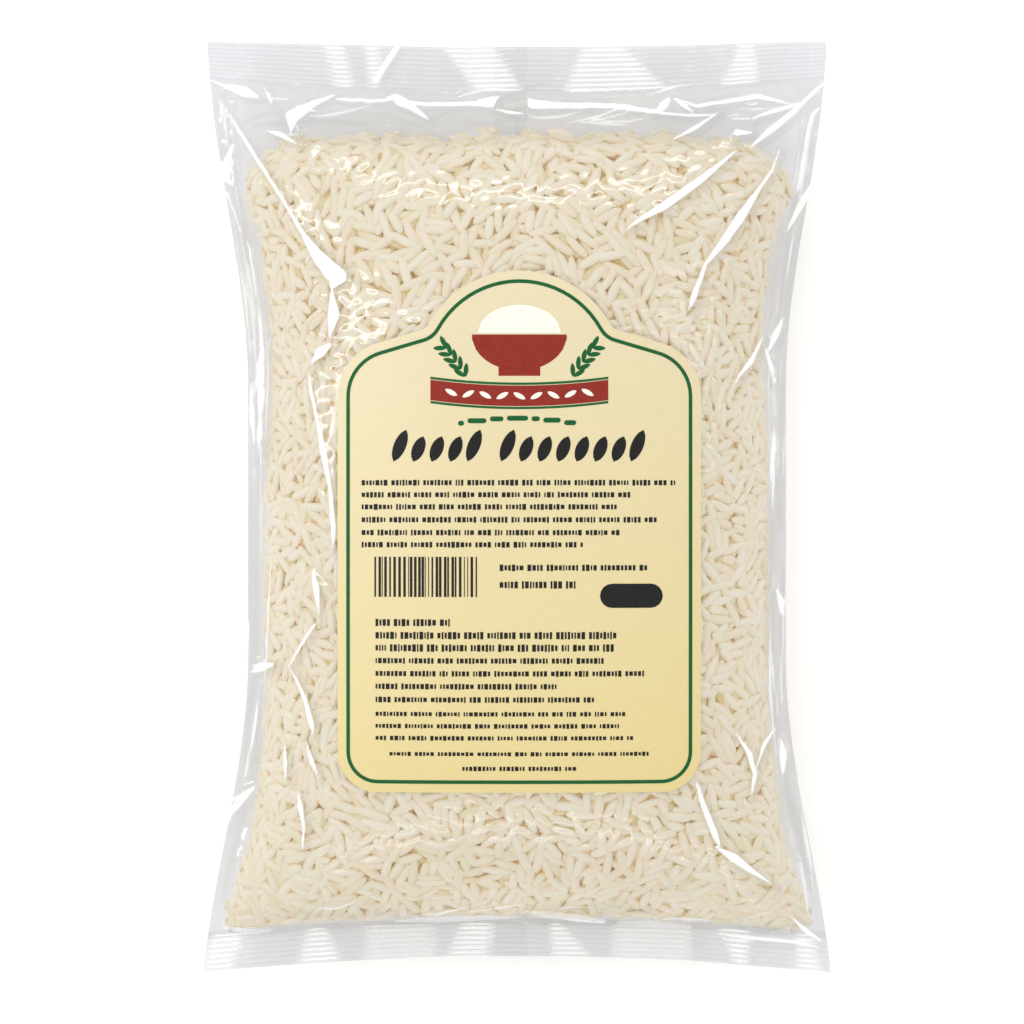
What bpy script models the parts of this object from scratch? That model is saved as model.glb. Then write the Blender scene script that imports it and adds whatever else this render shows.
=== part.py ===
"""A sealed pillow bag of clear film, full of long-grain rice, lying on its back with its label up.

Metres, +Z up and +Y towards the bag's top. The origin is on the floor, under the middle of the bag.
The bag is one solid: the filled body, the thin film ears down its sides and the two crimped end seals.
The label is a thin skin on the bag's front.
"""

import math

import bmesh
import bpy

MM = 0.001

# The film's outline, seen from above
LENGTH = 251.6 * MM
TOP_HALF_WIDTH = 83.6 * MM
BOTTOM_HALF_WIDTH = 85.8 * MM
WAIST_HALF_WIDTH = 72.6 * MM
TOP_SPREAD = (32.0 * MM, 125.0 * MM)  # the sides leave the waist's width here and reach the end's here
BOTTOM_SPREAD = (40.0 * MM, 138.0 * MM)

# The end seals are bowed: their middles lie nearer to the bag's middle than their corners do
TOP_SEAL_INNER = 112.0 * MM
TOP_SEAL_INNER_BOW = 4.0 * MM
TOP_SEAL_OUTER_BOW = 1.6 * MM
BOTTOM_SEAL_INNER = 112.0 * MM
BOTTOM_SEAL_INNER_BOW = 3.8 * MM
BOTTOM_SEAL_OUTER_BOW = 4.6 * MM
TOP_SEAL_RIDGES = 9
BOTTOM_SEAL_RIDGES = 7
CRIMP_HEIGHT = 0.22 * MM  # how far a ridge stands above the seal's mean surface
FILM_THICKNESS = 0.9 * MM  # of the seals and the side ears

# The filled body
THICKNESS = 52.0 * MM
SEAL_HEIGHT = 16.0 * MM  # of the seals and the side ears above the floor
FRONT_SECTION = (2.4, 0.60)  # powers of the dome across the bag: higher is squarer, then steeper
FRONT_PROFILE = (4.2, 0.70)  # the same along the bag
BACK_SECTION = (3.2, 0.50)
BACK_PROFILE = (4.5, 0.50)
BACK_FLATNESS = 1.22  # the back would bulge this much further if the floor didn't stop it
EAR_AT_WAIST = 3.5 * MM  # clear film beyond the rice, at each side
EAR_AT_TOP = 8.5 * MM
EAR_AT_BOTTOM = 5.0 * MM
EAR_POWER = 3.0

# The end seals ripple, and the ripples fade into the body: (height, wavelength, phase)
RIPPLES = ((1.2 * MM, 57 * MM, 0.6), (0.7 * MM, 33 * MM, 2.1))
RIPPLE_FADE = 7.0  # a higher power keeps the ripples nearer to the seals

# The fin seam down the back lies flat, between two shallow creases
SEAM_EDGES = (-6.0 * MM, 2.7 * MM)
SEAM_CREASE_HALF_WIDTH = 0.5 * MM
SEAM_CREASE_DEPTH = 0.4 * MM
SEAM_ZONE = 11.0 * MM

# The mesh's fineness
SIDE_COLUMNS = 10
BODY_ROWS = 30
COLUMN_CROWDING = 0.5  # from 0, even columns, to 1, crowded at the sides
ROW_CROWDING = 0.7  # from 0, even rows, to 1, crowded at the seals

# The label: a panel with rounded bottom corners, round shoulders and an arched top
LABEL_CENTRE_X = 0.6 * MM
LABEL_TOP = 62.5 * MM
LABEL_BOTTOM = -75.7 * MM
LABEL_HALF_WIDTH = 47.8 * MM
LABEL_ARCH_RADIUS = 27.5 * MM
LABEL_NECK_RADIUS = 3.4 * MM
LABEL_SHOULDER_RADIUS = 14.6 * MM
LABEL_SHOULDER_Y = 29.4 * MM
LABEL_SHOULDER_SLOPE = math.radians(16)
LABEL_CORNER_RADIUS = 10.6 * MM
LABEL_GAP = 0.3 * MM
LABEL_THICKNESS = 0.3 * MM
LABEL_BLANK_MARGIN = 0.5 * MM  # the slab reaches this far past the outline before it is trimmed
LABEL_COLUMNS = 16
LABEL_ROWS = 24
ARC_STEP = math.radians(11)

BAG_COLOUR = (0.80, 0.76, 0.66, 1.0)
LABEL_COLOUR = (0.88, 0.77, 0.47, 1.0)


def clear_scene():
    for obj in list(bpy.data.objects):
        bpy.data.objects.remove(obj, do_unlink=True)


def new_collection(name):
    collection = bpy.data.collections.new(name)
    bpy.context.scene.collection.children.link(collection)
    return collection


def new_material(name, colour, roughness):
    material = bpy.data.materials.new(name)
    material.use_nodes = True
    shader = material.node_tree.nodes["Principled BSDF"]
    shader.inputs["Base Color"].default_value = colour
    shader.inputs["Roughness"].default_value = roughness
    shader.inputs["Metallic"].default_value = 0.0
    return material


def new_object(name, mesh, collection, material=None):
    obj = bpy.data.objects.new(name, mesh)
    collection.objects.link(obj)
    if material:
        mesh.materials.append(material)
    return obj


def mix(low, high, share):
    return low + (high - low) * share


def half_width(y):
    """Half the film's width at y: narrow at the waist, full width at the seals."""
    if y > 0:
        end, spread = TOP_HALF_WIDTH, TOP_SPREAD
    else:
        end, spread = BOTTOM_HALF_WIDTH, BOTTOM_SPREAD
    share = min(max((abs(y) - spread[0]) / (spread[1] - spread[0]), 0.0), 1.0)
    return mix(WAIST_HALF_WIDTH, end, share * share * (3 - 2 * share))


def ear_width(y):
    """Width of the clear film beyond the rice, at each side."""
    end = EAR_AT_TOP if y > 0 else EAR_AT_BOTTOM
    share = min(abs(y) / TOP_SEAL_INNER, 1.0)
    return mix(EAR_AT_WAIST, end, share**EAR_POWER)


def seal_lines(across):
    """y of the four seal edges, bottom to top, at a place from -1 to 1 across the bag."""
    bow = across * across
    bottom_middle = -LENGTH / 2 + BOTTOM_SEAL_OUTER_BOW
    top_middle = LENGTH / 2 - TOP_SEAL_OUTER_BOW
    return (
        bottom_middle - BOTTOM_SEAL_OUTER_BOW * bow,
        -BOTTOM_SEAL_INNER - BOTTOM_SEAL_INNER_BOW * bow,
        TOP_SEAL_INNER + TOP_SEAL_INNER_BOW * bow,
        top_middle + TOP_SEAL_OUTER_BOW * bow,
    )


def dome(distance, powers):
    """1 in the middle and 0 at a distance of 1, by a superellipse."""
    squareness, steepness = powers
    return max(0.0, 1.0 - abs(distance) ** squareness) ** steepness


def film_height(x, y, side):
    """Height of the film at x, y: side is 1 for the front and -1 for the back."""
    half = half_width(y)
    lines = seal_lines(x / half)
    along = 2 * (y - lines[1]) / (lines[2] - lines[1]) - 1
    along = min(max(along, -1.0), 1.0)
    across = x / (half - ear_width(y))

    ripple = sum(height * math.sin(math.tau * x / wave + phase) for height, wave, phase in RIPPLES)
    middle = SEAL_HEIGHT + ripple * abs(along) ** RIPPLE_FADE
    face = middle + side * FILM_THICKNESS / 2
    if side > 0:
        bulge = dome(across, FRONT_SECTION) * dome(along, FRONT_PROFILE)
        return face + (THICKNESS - face) * bulge
    bulge = BACK_FLATNESS * dome(across, BACK_SECTION) * dome(along, BACK_PROFILE)
    return face * (1.0 - min(bulge, 1.0)) + seam_crease(x)


def seam_crease(x):
    """How far the back is pressed in at x, beside the fin seam."""
    for edge in SEAM_EDGES:
        if abs(x - edge) < SEAM_CREASE_HALF_WIDTH / 2:
            return SEAM_CREASE_DEPTH
    return 0.0


def column_places(y):
    """x of every grid column in the row at y, from the left edge to the right one."""
    half = half_width(y)
    side = []
    for i in range(SIDE_COLUMNS + 1):
        share = i / SIDE_COLUMNS
        share = mix(share, math.sin(math.pi / 2 * share), COLUMN_CROWDING)
        side.append(mix(SEAM_ZONE, half - ear_width(y), share))
    seam = []
    for edge in SEAM_EDGES:
        seam += [edge - SEAM_CREASE_HALF_WIDTH, edge, edge + SEAM_CREASE_HALF_WIDTH]
    return [-half] + [-x for x in reversed(side)] + seam + side + [half]


def row_places(across):
    """(y, crimp) of every grid row at a place across the bag, from the bottom edge to the top one."""
    bottom_outer, bottom_inner, top_inner, top_outer = seal_lines(across)
    rows = []
    for i in range(2 * BOTTOM_SEAL_RIDGES):
        y = mix(bottom_outer, bottom_inner, i / (2 * BOTTOM_SEAL_RIDGES))
        rows.append((y, CRIMP_HEIGHT * (-1) ** i))
    for i in range(BODY_ROWS + 1):
        share = i / BODY_ROWS
        share -= ROW_CROWDING * math.sin(math.tau * share) / math.tau
        rows.append((mix(bottom_inner, top_inner, share), 0.0))
    for i in range(1, 2 * TOP_SEAL_RIDGES + 1):
        y = mix(top_inner, top_outer, i / (2 * TOP_SEAL_RIDGES))
        rows.append((y, CRIMP_HEIGHT * (-1) ** i))
    return rows


def grid_slab(columns, rows):
    """A closed slab over a grid, and its vertices as {(column, row, side): vertex}."""
    slab = bmesh.new()
    bmesh.ops.create_grid(slab, x_segments=columns - 1, y_segments=rows - 1, size=1.0)
    bmesh.ops.extrude_face_region(slab, geom=list(slab.faces), use_keep_orig=True)
    places = {}
    for count, vertex in enumerate(slab.verts):
        side = -1 if count < columns * rows else 1
        column = round((vertex.co.x + 1) / 2 * (columns - 1))
        row = round((vertex.co.y + 1) / 2 * (rows - 1))
        places[column, row, side] = vertex
    return slab, places


def mesh_from(shape, name):
    bmesh.ops.recalc_face_normals(shape, faces=shape.faces)
    mesh = bpy.data.meshes.new(name)
    shape.to_mesh(mesh)
    shape.free()
    mesh.shade_smooth()
    mesh.set_sharp_from_angle(angle=math.radians(40))
    return mesh


def make_bag(collection):
    middle_rows = row_places(0.0)
    columns = [column_places(y) for y, crimp in middle_rows]
    slab, places = grid_slab(len(columns[0]), len(middle_rows))
    for (column, row, side), vertex in places.items():
        x = columns[row][column]
        y, crimp = row_places(x / columns[row][-1])[row]
        vertex.co = (x, y, film_height(x, y, side) + crimp)
    material = new_material("bag", BAG_COLOUR, 0.25)
    return new_object("bag", mesh_from(slab, "bag"), collection, material)


def arc(centre, radius, start, end):
    """Points on an arc from one angle to another, both included."""
    steps = max(2, math.ceil(abs(end - start) / ARC_STEP))
    points = []
    for i in range(steps + 1):
        angle = mix(start, end, i / steps)
        points.append((centre[0] + radius * math.cos(angle), centre[1] + radius * math.sin(angle)))
    return points


def label_side():
    """The label's left half as points, from the bottom corner to the top of the arch."""
    quarter = math.pi / 2
    corner = (-LABEL_HALF_WIDTH + LABEL_CORNER_RADIUS, LABEL_BOTTOM + LABEL_CORNER_RADIUS)
    shoulder = (-LABEL_HALF_WIDTH + LABEL_SHOULDER_RADIUS, LABEL_SHOULDER_Y)
    arch = (0.0, LABEL_TOP - LABEL_ARCH_RADIUS)

    # The neck's circle touches the shoulder's straight slope and the arch
    slope = (math.cos(LABEL_SHOULDER_SLOPE), math.sin(LABEL_SHOULDER_SLOPE))
    normal = (-slope[1], slope[0])
    lift = LABEL_SHOULDER_RADIUS + LABEL_NECK_RADIUS
    start = (shoulder[0] + normal[0] * lift - arch[0], shoulder[1] + normal[1] * lift - arch[1])
    reach = LABEL_ARCH_RADIUS + LABEL_NECK_RADIUS
    half_b = start[0] * slope[0] + start[1] * slope[1]
    run = -half_b - math.sqrt(half_b**2 - start[0] ** 2 - start[1] ** 2 + reach**2)
    neck = (arch[0] + start[0] + slope[0] * run, arch[1] + start[1] + slope[1] * run)
    meet = math.atan2(neck[1] - arch[1], neck[0] - arch[0])

    points = arc(corner, LABEL_CORNER_RADIUS, -quarter, -2 * quarter)
    points += arc(shoulder, LABEL_SHOULDER_RADIUS, 2 * quarter, quarter + LABEL_SHOULDER_SLOPE)
    points += arc(neck, LABEL_NECK_RADIUS, LABEL_SHOULDER_SLOPE - quarter, meet - math.pi)[:-1]
    points += arc(arch, LABEL_ARCH_RADIUS, meet, quarter)
    return points


def label_outline():
    left = label_side()
    right = [(-x, y) for x, y in reversed(left[:-1])]
    return [(x + LABEL_CENTRE_X, y) for x, y in left + right]


def make_label_cutter(collection):
    """An upright prism with the label's outline."""
    outline = label_outline()
    curve = bpy.data.curves.new("label_outline", "CURVE")
    curve.dimensions = "2D"
    curve.fill_mode = "BOTH"
    curve.extrude = 2 * THICKNESS
    spline = curve.splines.new("POLY")
    spline.points.add(len(outline) - 1)
    spline.use_cyclic_u = True
    for point, (x, y) in zip(spline.points, outline):
        point.co = (x, y, 0.0, 1.0)
    guide = new_object("label_outline", curve, collection)
    bpy.context.view_layer.update()
    evaluated = guide.evaluated_get(bpy.context.evaluated_depsgraph_get())
    mesh = bpy.data.meshes.new_from_object(evaluated)
    bpy.data.objects.remove(guide, do_unlink=True)

    prism = bmesh.new()
    prism.from_mesh(mesh)
    bmesh.ops.remove_doubles(prism, verts=prism.verts, dist=0.01 * MM)
    bmesh.ops.recalc_face_normals(prism, faces=prism.faces)
    prism.to_mesh(mesh)
    prism.free()
    cutter = new_object("label_cutter", mesh, collection)
    cutter.hide_render = True
    cutter.display_type = "WIRE"
    return cutter


def make_label(collection, cutter):
    """A thin slab that follows the bag's front, trimmed to the label's outline."""
    slab, places = grid_slab(LABEL_COLUMNS, LABEL_ROWS)
    half = LABEL_HALF_WIDTH + LABEL_BLANK_MARGIN
    low_y = LABEL_BOTTOM - LABEL_BLANK_MARGIN
    high_y = LABEL_TOP + LABEL_BLANK_MARGIN
    for (column, row, side), vertex in places.items():
        x = LABEL_CENTRE_X + mix(-half, half, column / (LABEL_COLUMNS - 1))
        y = mix(low_y, high_y, row / (LABEL_ROWS - 1))
        height = LABEL_GAP if side < 0 else LABEL_GAP + LABEL_THICKNESS
        vertex.co = (x, y, film_height(x, y, 1) + height)
    material = new_material("label", LABEL_COLOUR, 0.4)
    label = new_object("label", mesh_from(slab, "label"), collection, material)
    trim = label.modifiers.new("outline", "BOOLEAN")
    trim.operation = "INTERSECT"
    trim.solver = "EXACT"
    trim.object = cutter
    return label


def main():
    clear_scene()
    parts = new_collection("rice_bag")
    cutters = new_collection("cutters")
    make_bag(parts)
    make_label(parts, make_label_cutter(cutters))


main()
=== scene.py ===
"""A clear-film pillow bag of long-grain rice, lying on its back: its film, grains, label, floor and light.

Metres, +Z up and +Y towards the bag's top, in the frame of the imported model.
"""

import math
from collections import namedtuple

import bmesh
import bpy
import numpy as np
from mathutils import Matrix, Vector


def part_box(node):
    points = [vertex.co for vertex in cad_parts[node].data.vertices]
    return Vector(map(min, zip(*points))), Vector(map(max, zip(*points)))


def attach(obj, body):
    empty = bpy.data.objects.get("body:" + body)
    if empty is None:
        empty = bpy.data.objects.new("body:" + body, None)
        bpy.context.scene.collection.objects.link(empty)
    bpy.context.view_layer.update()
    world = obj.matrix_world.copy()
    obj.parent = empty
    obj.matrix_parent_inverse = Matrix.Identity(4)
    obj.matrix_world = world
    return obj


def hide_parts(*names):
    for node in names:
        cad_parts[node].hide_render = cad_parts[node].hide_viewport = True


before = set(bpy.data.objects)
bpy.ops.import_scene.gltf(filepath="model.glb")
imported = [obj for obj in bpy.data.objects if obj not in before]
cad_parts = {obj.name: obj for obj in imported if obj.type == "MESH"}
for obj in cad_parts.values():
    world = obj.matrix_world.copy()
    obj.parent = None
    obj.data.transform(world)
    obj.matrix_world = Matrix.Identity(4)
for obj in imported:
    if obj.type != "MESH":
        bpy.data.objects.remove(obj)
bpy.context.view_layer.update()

BAG_LOW, BAG_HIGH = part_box("bag")
MM = 0.001
rng = np.random.default_rng(7)

# The film's outline, as in the model
LENGTH = BAG_HIGH.y - BAG_LOW.y
THICKNESS = BAG_HIGH.z
TOP_HALF_WIDTH = 83.6 * MM
BOTTOM_HALF_WIDTH = 85.8 * MM
WAIST_HALF_WIDTH = 72.6 * MM
TOP_SPREAD = (32.0 * MM, 125.0 * MM)
BOTTOM_SPREAD = (40.0 * MM, 138.0 * MM)
TOP_SEAL_INNER = 112.0 * MM
TOP_SEAL_INNER_BOW = 4.0 * MM
TOP_SEAL_OUTER_BOW = 1.6 * MM
BOTTOM_SEAL_INNER = 112.0 * MM
BOTTOM_SEAL_INNER_BOW = 3.8 * MM
BOTTOM_SEAL_OUTER_BOW = 4.6 * MM
TOP_SEAL_RIDGES = 9
BOTTOM_SEAL_RIDGES = 7
SEAL_HEIGHT = 16.0 * MM
FRONT_SECTION = (2.4, 0.60)
FRONT_PROFILE = (4.2, 0.70)
BACK_SECTION = (3.2, 0.50)
BACK_PROFILE = (4.5, 0.50)
BACK_FLATNESS = 1.22
RIPPLES = ((1.2 * MM, 57 * MM, 0.6), (0.7 * MM, 33 * MM, 2.1))
RIPPLE_FADE = 7.0
WALL_SLOPE = 1.9  # the steepest rise of the film from the seals and the ears

# Width of the clear film beyond the rice at each side: y and the width there, in mm
EARS = (
    (-125.0, 2.5),
    (-109.0, 3.2),
    (-86.0, 5.6),
    (-62.0, 4.2),
    (-27.0, 3.0),
    (10.0, 3.2),
    (53.0, 5.4),
    (72.0, 5.6),
    (86.0, 3.0),
    (104.0, 5.0),
    (116.0, 8.5),
)

# The two films, whose gap at the seals and the ears is next to nothing
FILM_GAP = 0.16 * MM
BACK_LIFT = 0.45 * MM  # room under the back for the fin seam
FILM_STEP = 0.73 * MM
BACK_STEP = 1.5 * MM
FILM_ROUNDING = 3.0 * MM  # over this length the film rounds off its sharp turns
ROWS_PER_RIDGE = 4
CRIMP_HEIGHT = 0.17 * MM
CRIMP_STRENGTH = (0.72, 0.28)  # the mean, and how much it varies
CRIMP_WAVES = (31 * MM, 17 * MM, 7 * MM)
SEAM_EDGES = (-6.0 * MM, 2.7 * MM)
SEAM_DROP = 0.25 * MM  # from the back film to the seam under it
SEAM_LIFT = 0.12 * MM  # from the floor
DRAPE_DEPTH = 1.2 * MM  # the film follows gaps between the grains down to this depth
DRAPE_SHARE = 0.3  # of which it sinks this much
DRAPE_CLEAR = 0.6 * MM  # the depth that it follows where it has no rice under it
DRAPE_ROUNDS = 6  # of smoothing

# The rice
RICE_TOP = 101.0 * MM  # where the rice ends, below the clear film at the top
RICE_TOP_WAVES = (83 * MM, 37 * MM, 17 * MM)
RICE_TOP_UNEVENNESS = 1.2 * MM
RICE_TOP_JAGS = (9 * MM, 6.5 * MM)
RICE_TOP_JAG = 0.9 * MM
RICE_CORNER_DROP = 10.0 * MM
RICE_CORNER_POWER = 10
RICE_SHOULDER = 6.0 * MM  # the rice rounds off over this length there
GRAIN_LENGTH = 8.8 * MM
GRAIN_WIDTH = 2.75 * MM
GRAIN_DEPTH = 1.9 * MM
CELL = 0.4 * MM  # of the map that the grains are laid on
LOWEST_GRAIN = 3.3 * MM  # no grain lies deeper under the film than this
LEAST_COVER = 1.1 * MM  # from the film down to the middle of a grain, along the whole grain
RICE_CLEARANCE = 0.6 * MM  # keeps the grains, pressed as they are, under the film
CORE_INSET = 3.2 * MM
CORE_MARGIN = 5.0 * MM  # from the core to the ears and to the rice's top
CORE_STEP = 2.5 * MM

# The label
LABEL_CENTRE_X = 0.6 * MM
LABEL_TOP = 62.5 * MM
LABEL_BOTTOM = -75.7 * MM
LABEL_HALF_WIDTH = 48.3 * MM
LABEL_ARCH_RADIUS = 27.5 * MM
LABEL_NECK_RADIUS = 3.4 * MM
LABEL_SHOULDER_RADIUS = 14.6 * MM
LABEL_SHOULDER_Y = 29.4 * MM
LABEL_SHOULDER_SLOPE = math.radians(16)
LABEL_CORNER_RADIUS = 10.6 * MM
LABEL_LIFT = 0.4 * MM
LABEL_FADE = 2.5 * MM  # under the label the film is smooth, and this far beyond it no longer
PRINT_LIFT = 0.06 * MM
KEYLINE_INSETS = (2.35 * MM, 3.3 * MM)

# The camera: the photograph is 1024 pixels square, and this many millimetres a pixel at the seals
PHOTO_SIZE = 1024
PIXEL = 0.27 * MM
BAG_MIDDLE_PIXEL = (517, 507)
CAMERA_DISTANCE = 1.6
SENSOR = 0.036

# Creases in the front film, painted white along them as crease haze and painted highlight. Each bend has x, y
# and half the width of the white film there, in mm
CORNER_CREASES_LEFT = (
    ((-83.4, 115.6, 0.2), (-78.8, 113.7, 0.5), (-73.4, 110.7, 0.2)),
    ((-78.0, 114.2, 0.3), (-73.7, 112.1, 1.7), (-69.9, 110.4, 0.5)),
    ((-67.8, 112.6, 0.2), (-66.7, 110.4, 0.6), (-65.9, 108.3, 0.2)),
    ((-80.7, 109.9, 0.2), (-79.9, 106.7, 0.4), (-80.5, 103.4, 0.2)),
    ((-79.7, 109.1, 0.2), (-73.4, 99.1, 0.5), (-61.9, 81.1, 0.5), (-57.1, 73.0, 0.6), (-52.8, 66.6, 1.9)),
    ((-52.8, 66.6, 1.9), (-47.8, 61.1, 3.0), (-49.4, 57.9, 0.2)),
    ((-49.4, 58.1, 0.2), (-48.6, 51.0, 1.9), (-49.9, 45.1, 0.1)),
    ((-54.7, 38.5, 0.2), (-52.3, 41.2, 1.6), (-49.9, 43.0, 0.8)),
    ((-67.2, 101.0, 0.2), (-63.3, 99.8, 0.8), (-58.8, 97.1, 0.2)),
    ((-76.6, 97.6, 0.4), (-78.2, 93.6, 1.1), (-77.8, 86.9, 0.2)),
)
TOP_CREASES = (
    ((-48.9, 111.0, 0.2), (-54.5, 108.3, 1.0), (-60.2, 104.8, 2.2), (-60.5, 100.7, 0.2)),
    ((-48.9, 109.9, 0.2), (-46.4, 109.4, 0.5), (-35.6, 109.1, 0.5), (-32.9, 110.4, 1.0), (-31.6, 109.1, 1.6)),
    ((-31.6, 109.1, 1.6), (-27.5, 106.7, 1.0), (-23.2, 103.4, 0.1)),
    ((-32.1, 108.8, 0.5), (-23.5, 108.3, 0.6), (-11.3, 108.3, 0.8), (-7.3, 108.8, 1.9), (-4.9, 110.7, 0.2)),
    ((-5.9, 106.7, 0.2), (-1.9, 105.8, 0.5), (1.9, 105.3, 0.2)),
    ((3.0, 110.2, 0.2), (4.3, 108.0, 1.6), (11.6, 107.7, 1.0), (23.8, 107.7, 0.8)),
    ((23.8, 107.7, 0.8), (29.2, 107.2, 0.9), (35.9, 106.1, 0.7), (39.2, 105.6, 0.3)),
    ((41.3, 110.4, 0.2), (39.4, 107.7, 1.4), (37.8, 105.8, 0.3)),
    ((41.9, 110.2, 0.2), (44.6, 108.0, 0.7), (47.5, 105.8, 0.2)),
    ((38.6, 105.6, 0.4), (46.7, 105.0, 0.4), (52.9, 105.3, 0.2)),
    ((53.7, 105.6, 0.2), (47.3, 101.2, 0.6), (41.7, 98.2, 0.2)),
    ((42.9, 109.9, 0.2), (48.1, 107.7, 0.5), (57.5, 109.1, 0.6), (64.8, 110.4, 0.8), (74.2, 108.5, 0.2)),
    ((58.8, 100.2, 1.0), (62.7, 100.3, 0.3)),
    ((-32.4, 124.2, 0.9), (-38.1, 115.3, 0.9)),
)
CORNER_CREASES_RIGHT = (
    ((83.2, 114.8, 0.4), (77.8, 109.9, 0.6), (73.7, 105.8, 0.9), (67.8, 101.0, 1.0), (62.4, 96.3, 0.2)),
    ((77.0, 109.1, 0.5), (69.7, 106.7, 0.7), (62.9, 104.2, 0.2)),
    ((81.5, 107.7, 0.4), (79.7, 105.8, 0.6), (78.3, 100.4, 0.5), (78.0, 95.9, 0.6), (75.6, 85.1, 0.2)),
    ((79.9, 87.2, 0.8), (76.4, 81.3, 1.1), (72.6, 74.0, 0.2)),
    ((58.5, 95.2, 0.2), (49.1, 87.3, 1.1), (39.3, 80.2, 1.3), (31.3, 75.4, 0.5), (28.9, 73.3, 0.1)),
    ((70.5, 96.1, 0.2), (68.4, 90.4, 0.4), (65.0, 85.6, 0.5), (59.9, 78.0, 1.5), (55.0, 70.9, 1.2)),
    ((55.0, 70.9, 1.2), (50.2, 64.8, 0.5), (46.7, 55.5, 0.9), (45.7, 52.0, 0.1)),
)
LEFT_CREASES = (
    ((-55.5, 36.1, 0.2), (-55.0, 31.1, 0.6), (-52.8, 21.8, 0.5), (-51.5, 15.1, 1.0), (-49.6, 4.5, 0.5)),
    ((-49.6, 4.5, 0.5), (-48.8, -6.1, 0.7), (-48.9, -12.2, 0.1)),
    ((-71.8, 33.2, 0.1), (-71.6, 24.8, 0.9), (-71.0, 16.7, 0.1)),
    ((-54.7, -16.7, 0.1), (-53.4, -21.2, 1.0), (-52.8, -28.4, 0.2)),
    ((-53.9, -31.3, 0.3), (-57.6, -36.7, 0.5), (-60.7, -42.1, 0.2)),
    ((-71.8, -44.6, 0.2), (-69.2, -43.2, 1.4), (-65.6, -42.4, 0.5)),
    ((-61.3, -42.4, 0.2), (-59.0, -46.0, 0.4), (-56.6, -51.2, 0.6), (-54.7, -57.9, 0.8), (-54.2, -61.1, 0.1)),
    ((-56.3, -62.7, 0.2), (-54.7, -68.0, 0.7), (-52.6, -72.7, 0.1)),
    ((-62.4, -63.5, 0.2), (-61.9, -68.5, 0.6), (-62.1, -73.1, 0.1)),
    ((-72.1, -27.8, 0.2), (-72.9, -35.9, 0.5), (-73.4, -49.4, 0.6), (-74.8, -63.5, 0.2)),
    ((-70.9, -75.6, 0.4), (-74.4, -78.7, 1.4), (-77.5, -82.9, 0.7), (-78.8, -87.5, 0.2)),
    ((-58.5, -76.0, 0.2), (-57.9, -80.0, 0.8), (-56.8, -85.8, 0.4), (-57.6, -91.6, 0.2)),
)
RIGHT_CREASES = (
    ((72.1, 51.6, 0.2), (69.7, 46.4, 1.1), (67.5, 41.5, 0.3)),
    ((67.0, 42.9, 0.2), (68.4, 38.1, 0.8), (70.2, 32.1, 0.1)),
    ((69.4, 22.4, 0.2), (69.1, 15.4, 0.8), (68.4, 6.7, 0.1)),
    ((66.1, 45.8, 0.2), (62.7, 39.2, 0.9), (59.9, 35.9, 0.5), (57.6, 32.1, 0.1)),
    ((70.2, -21.9, 0.2), (71.3, -25.7, 1.1), (71.8, -31.1, 0.1)),
    ((71.3, -62.4, 0.2), (71.8, -67.2, 1.3), (71.6, -72.9, 0.2)),
    ((69.9, -59.4, 0.2), (66.4, -63.7, 0.7), (64.1, -70.0, 0.1)),
    ((58.5, -60.3, 0.2), (62.1, -66.1, 0.8), (63.6, -71.6, 0.7), (62.7, -77.4, 0.2)),
    ((47.8, -73.5, 0.4), (49.4, -79.1, 0.8), (52.6, -87.1, 1.0), (54.4, -91.3, 0.2)),
    ((53.1, -90.8, 0.2), (57.9, -93.8, 1.4), (62.7, -97.4, 0.8), (69.4, -101.8, 0.1)),
)
BOTTOM_CREASES = (
    ((-19.8, -111.4, 0.2), (-13.0, -111.0, 0.5), (-2.0, -110.7, 0.2)),
    ((11.0, -110.6, 0.2), (17.0, -111.4, 0.4), (24.0, -112.2, 0.2)),
    ((54.5, -115.3, 0.2), (65.6, -116.4, 0.6), (76.4, -117.5, 0.5), (81.5, -119.1, 0.2)),
    ((73.4, -109.9, 0.2), (77.8, -114.2, 0.7), (82.1, -117.2, 0.3)),
)
# Veils: film painted white above the bottom seal, as haze and painted highlight
BOTTOM_VEILS = (
    ((-33.0, -111.6, 0.4), (-22.0, -111.2, 1.1), (-10.0, -110.6, 0.9), (0.0, -110.4, 0.4)),
    ((2.0, -108.6, 0.3), (9.0, -109.6, 1.3), (17.0, -110.4, 1.0), (24.0, -111.6, 0.3)),
    ((27.0, -112.0, 0.3), (36.0, -112.2, 0.9), (47.0, -113.2, 0.4)),
    ((-79.0, -113.5, 0.4), (-72.0, -114.5, 0.9), (-66.0, -114.0, 0.3)),
)
VEIL_WHITE = 0.38
CREASES = CORNER_CREASES_LEFT + TOP_CREASES + CORNER_CREASES_RIGHT
CREASES += LEFT_CREASES + RIGHT_CREASES + BOTTOM_CREASES
CREASE_FLANK = 1.3 * MM
CREASE_RIDGE = 0.2 * MM  # rise of the film in a crease
CREASE_FOLD = 0.3 * MM  # rise of the film about it
FOLD_REACH = 7.0  # mm from a crease to where that rise ends
FULL_CREASE = 1.2  # mm of half width from which a crease rises no higher
CREASE_SHARPNESS = 0.2  # mm over which the film's painted white ends
CREASE_WHITE_SHARE = 0.85  # of a crease's width, the rest being its flanks
SHADE_SHIFT = (1.1, -0.9, 0.3)  # mm from a crease to the painted shade beside it, and how much wider that is
SHADE_GREY = 0.22
SHADE_SOFTNESS = 1.1  # mm over which the painted shade ends
STREAK_SOFTNESS = 0.9
FILM_GREY = 0.42
TOGETHER_GREY = 0.1
TOGETHER_GAP = 3.0 * MM
# Painted shade and painted light on alternate sides of the crimps
CRIMP_SHADE = 0.17
# Painted light: the film round a glint is made less grey
GLINT_PAINTED_LIGHT = 0.25
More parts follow.
